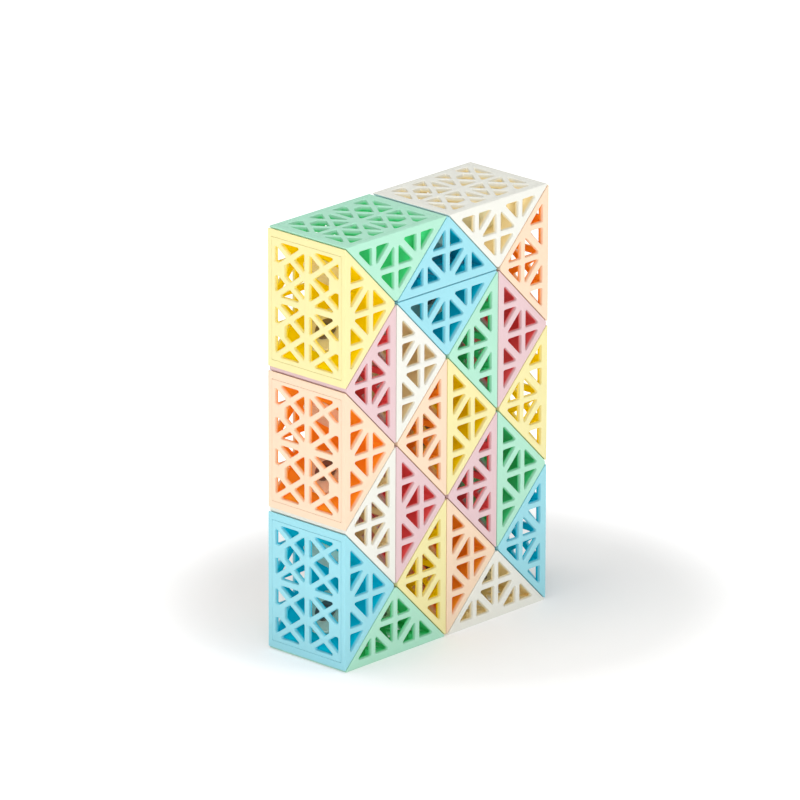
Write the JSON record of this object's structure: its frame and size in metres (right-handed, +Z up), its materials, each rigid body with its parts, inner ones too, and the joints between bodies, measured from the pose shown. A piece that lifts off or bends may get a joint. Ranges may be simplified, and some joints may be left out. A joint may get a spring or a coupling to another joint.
{
  "type": "folding snake puzzle",
  "caption": "Chain of right-angled prism wedges with lattice walls, each turning on the next by a spring-loaded steel pivot, folded flat into an upright rectangular block.",
  "frame": {"origin": "on the plane the block stands on, under the middle of the folded block", "axes": "+Z up along the block's height, +Y to the rear through its thickness, +X to the right along its width"},
  "size_m": [0.062, 0.0222, 0.0931],
  "materials": {
    "green_plastic": "smooth moulded ABS, pastel green",
    "blue_plastic": "smooth moulded ABS, pastel blue",
    "yellow_plastic": "smooth moulded ABS, pastel yellow",
    "peach_plastic": "smooth moulded ABS, pastel peach",
    "pink_plastic": "smooth moulded ABS, pastel pink",
    "white_plastic": "smooth moulded ABS, pastel white",
    "pivot_steel": "plain turned and stamped steel"
  },
  "bodies": {
    "wedge_01": {"wedge_01_shell": "blue_plastic", "wedge_01_cover": "blue_plastic"},
    "wedge_02": {"wedge_02_shell": "white_plastic", "wedge_02_cover": "white_plastic", "wedge_02_pivots": "pivot_steel"},
    "wedge_03": {"wedge_03_shell": "peach_plastic", "wedge_03_cover": "peach_plastic"},
    "wedge_04": {"wedge_04_shell": "pink_plastic", "wedge_04_cover": "pink_plastic", "wedge_04_pivots": "pivot_steel"},
    "wedge_05": {"wedge_05_shell": "yellow_plastic", "wedge_05_cover": "yellow_plastic"},
    "wedge_06": {"wedge_06_shell": "green_plastic", "wedge_06_cover": "green_plastic", "wedge_06_pivots": "pivot_steel"},
    "wedge_07": {"wedge_07_shell": "blue_plastic", "wedge_07_cover": "blue_plastic"},
    "wedge_08": {"wedge_08_shell": "white_plastic", "wedge_08_cover": "white_plastic", "wedge_08_pivots": "pivot_steel"},
    "wedge_09": {"wedge_09_shell": "peach_plastic", "wedge_09_cover": "peach_plastic"},
    "wedge_10": {"wedge_10_shell": "pink_plastic", "wedge_10_cover": "pink_plastic", "wedge_10_pivots": "pivot_steel"},
    "wedge_11": {"wedge_11_shell": "yellow_plastic", "wedge_11_cover": "yellow_plastic"},
    "wedge_12": {"wedge_12_shell": "green_plastic", "wedge_12_cover": "green_plastic", "wedge_12_pivots": "pivot_steel"},
    "wedge_13": {"wedge_13_shell": "blue_plastic", "wedge_13_cover": "blue_plastic"},
    "wedge_14": {"wedge_14_shell": "white_plastic", "wedge_14_cover": "white_plastic", "wedge_14_pivots": "pivot_steel"},
    "wedge_15": {"wedge_15_shell": "peach_plastic", "wedge_15_cover": "peach_plastic"},
    "wedge_16": {"wedge_16_shell": "pink_plastic", "wedge_16_cover": "pink_plastic", "wedge_16_pivots": "pivot_steel"},
    "wedge_17": {"wedge_17_shell": "yellow_plastic", "wedge_17_cover": "yellow_plastic"},
    "wedge_18": {"wedge_18_shell": "green_plastic", "wedge_18_cover": "green_plastic", "wedge_18_pivots": "pivot_steel"},
    "wedge_19": {"wedge_19_shell": "blue_plastic", "wedge_19_cover": "blue_plastic"},
    "wedge_20": {"wedge_20_shell": "white_plastic", "wedge_20_cover": "white_plastic", "wedge_20_pivots": "pivot_steel"},
    "wedge_21": {"wedge_21_shell": "peach_plastic", "wedge_21_cover": "peach_plastic"},
    "wedge_22": {"wedge_22_shell": "pink_plastic", "wedge_22_cover": "pink_plastic", "wedge_22_pivots": "pivot_steel"},
    "wedge_23": {"wedge_23_shell": "yellow_plastic", "wedge_23_cover": "yellow_plastic"},
    "wedge_24": {"wedge_24_shell": "green_plastic", "wedge_24_cover": "green_plastic", "wedge_24_pivots": "pivot_steel"}
  },
  "joints": [
    {"name": "twist_01_02", "type": "hinge", "parent": "wedge_02", "child": "wedge_01", "pos_m": [0.00778, 0, 0.08546], "axis": [-0.7071, 0, -0.7071], "range_deg": [-0.75, 0.75]},
    {"name": "twist_02_03", "type": "hinge", "parent": "wedge_03", "child": "wedge_02", "pos_m": [0.02333, 0, 0.08546], "axis": [-0.7071, 0, 0.7071], "range_deg": [-0.75, 0.75]},
    {"name": "twist_03_04", "type": "hinge", "parent": "wedge_04", "child": "wedge_03", "pos_m": [0.02333, 0, 0.0699], "axis": [-0.7071, 0, -0.7071], "range_deg": [-0.75, 0.75]},
    {"name": "twist_04_05", "type": "hinge", "parent": "wedge_05", "child": "wedge_04", "pos_m": [0.02333, 0, 0.05435], "axis": [0.7071, 0, -0.7071], "range_deg": [-0.75, 0.75]},
    {"name": "twist_05_06", "type": "hinge", "parent": "wedge_06", "child": "wedge_05", "pos_m": [0.02333, 0, 0.03879], "axis": [0.7071, 0, 0.7071], "range_deg": [-0.75, 0.75]},
    {"name": "twist_06_07", "type": "hinge", "parent": "wedge_07", "child": "wedge_06", "pos_m": [0.02333, 0, 0.02323], "axis": [0.7071, 0, -0.7071], "range_deg": [-0.75, 0.75]},
    {"name": "twist_07_08", "type": "hinge", "parent": "wedge_08", "child": "wedge_07", "pos_m": [0.02333, 0, 0.00768], "axis": [0.7071, 0, 0.7071], "range_deg": [-0.75, 0.75]},
    {"name": "twist_08_09", "type": "hinge", "parent": "wedge_08", "child": "wedge_09", "pos_m": [0.00778, 0, 0.00768], "axis": [0.7071, 0, -0.7071], "range_deg": [-0.75, 0.75]},
    {"name": "twist_09_10", "type": "hinge", "parent": "wedge_09", "child": "wedge_10", "pos_m": [0.00778, 0, 0.02323], "axis": [0.7071, 0, 0.7071], "range_deg": [-0.75, 0.75]},
    {"name": "twist_10_11", "type": "hinge", "parent": "wedge_10", "child": "wedge_11", "pos_m": [0.00778, 0, 0.03879], "axis": [0.7071, 0, -0.7071], "range_deg": [-0.75, 0.75]},
    {"name": "twist_11_12", "type": "hinge", "parent": "wedge_11", "child": "wedge_12", "pos_m": [0.00778, 0, 0.05435], "axis": [-0.7071, 0, -0.7071], "range_deg": [-0.75, 0.75]},
    {"name": "twist_12_13", "type": "hinge", "parent": "wedge_12", "child": "wedge_13", "pos_m": [0.00778, 0, 0.0699], "axis": [-0.7071, 0, 0.7071], "range_deg": [-0.75, 0.75]},
    {"name": "twist_13_14", "type": "hinge", "parent": "wedge_13", "child": "wedge_14", "pos_m": [-0.00778, 0, 0.0699], "axis": [0.7071, 0, 0.7071], "range_deg": [-0.75, 0.75]},
    {"name": "twist_14_15", "type": "hinge", "parent": "wedge_14", "child": "wedge_15", "pos_m": [-0.00778, 0, 0.05435], "axis": [0.7071, 0, -0.7071], "range_deg": [-0.75, 0.75]},
    {"name": "twist_15_16", "type": "hinge", "parent": "wedge_15", "child": "wedge_16", "pos_m": [-0.00778, 0, 0.03879], "axis": [-0.7071, 0, -0.7071], "range_deg": [-0.75, 0.75]},
    {"name": "twist_16_17", "type": "hinge", "parent": "wedge_16", "child": "wedge_17", "pos_m": [-0.00778, 0, 0.02323], "axis": [-0.7071, 0, 0.7071], "range_deg": [-0.75, 0.75]},
    {"name": "twist_17_18", "type": "hinge", "parent": "wedge_17", "child": "wedge_18", "pos_m": [-0.00778, 0, 0.00768], "axis": [0.7071, 0, 0.7071], "range_deg": [-0.75, 0.75]},
    {"name": "twist_18_19", "type": "hinge", "parent": "wedge_18", "child": "wedge_19", "pos_m": [-0.02333, 0, 0.00768], "axis": [0.7071, 0, -0.7071], "range_deg": [-0.75, 0.75]},
    {"name": "twist_19_20", "type": "hinge", "parent": "wedge_19", "child": "wedge_20", "pos_m": [-0.02333, 0, 0.02323], "axis": [-0.7071, 0, -0.7071], "range_deg": [-0.75, 0.75]},
    {"name": "twist_20_21", "type": "hinge", "parent": "wedge_20", "child": "wedge_21", "pos_m": [-0.02333, 0, 0.03879], "axis": [-0.7071, 0, 0.7071], "range_deg": [-0.75, 0.75]},
    {"name": "twist_21_22", "type": "hinge", "parent": "wedge_21", "child": "wedge_22", "pos_m": [-0.02333, 0, 0.05435], "axis": [0.7071, 0, 0.7071], "range_deg": [-0.75, 0.75]},
    {"name": "twist_22_23", "type": "hinge", "parent": "wedge_22", "child": "wedge_23", "pos_m": [-0.02333, 0, 0.0699], "axis": [-0.7071, 0, 0.7071], "continuous": true},
    {"name": "twist_23_24", "type": "hinge", "parent": "wedge_23", "child": "wedge_24", "pos_m": [-0.02333, 0, 0.08546], "axis": [-0.7071, 0, -0.7071], "range_deg": [-0.75, 0.75]}
  ]
}
